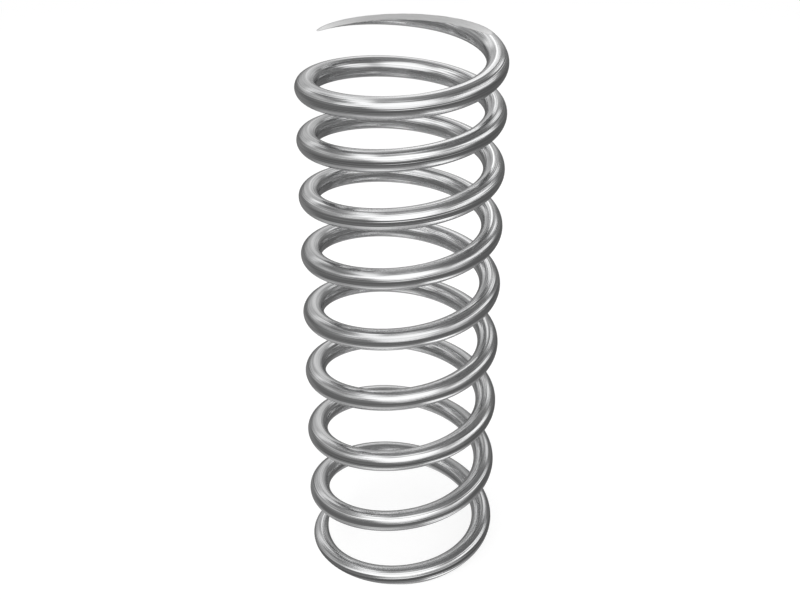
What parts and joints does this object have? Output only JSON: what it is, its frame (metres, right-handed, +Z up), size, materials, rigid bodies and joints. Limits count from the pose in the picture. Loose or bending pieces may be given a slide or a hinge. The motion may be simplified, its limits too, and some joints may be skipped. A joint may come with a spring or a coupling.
{
  "type": "compression spring",
  "caption": "Open-wound compression spring of round drawn steel wire, right-hand coil, both ends cut and ground flat to stand between plates.",
  "frame": {"origin": "where the coil's axis meets the ground foot", "axes": "+Z up the coil's axis from the ground foot to the ground top, -Y towards the side that the picture shows"},
  "size_m": [0.019, 0.019, 0.053],
  "materials": {
    "spring_steel": "bright drawn wire with fine lines along it, and satin ground ends"
  },
  "bodies": {
    "root": {"spring": "spring_steel"}
  },
  "joints": []
}
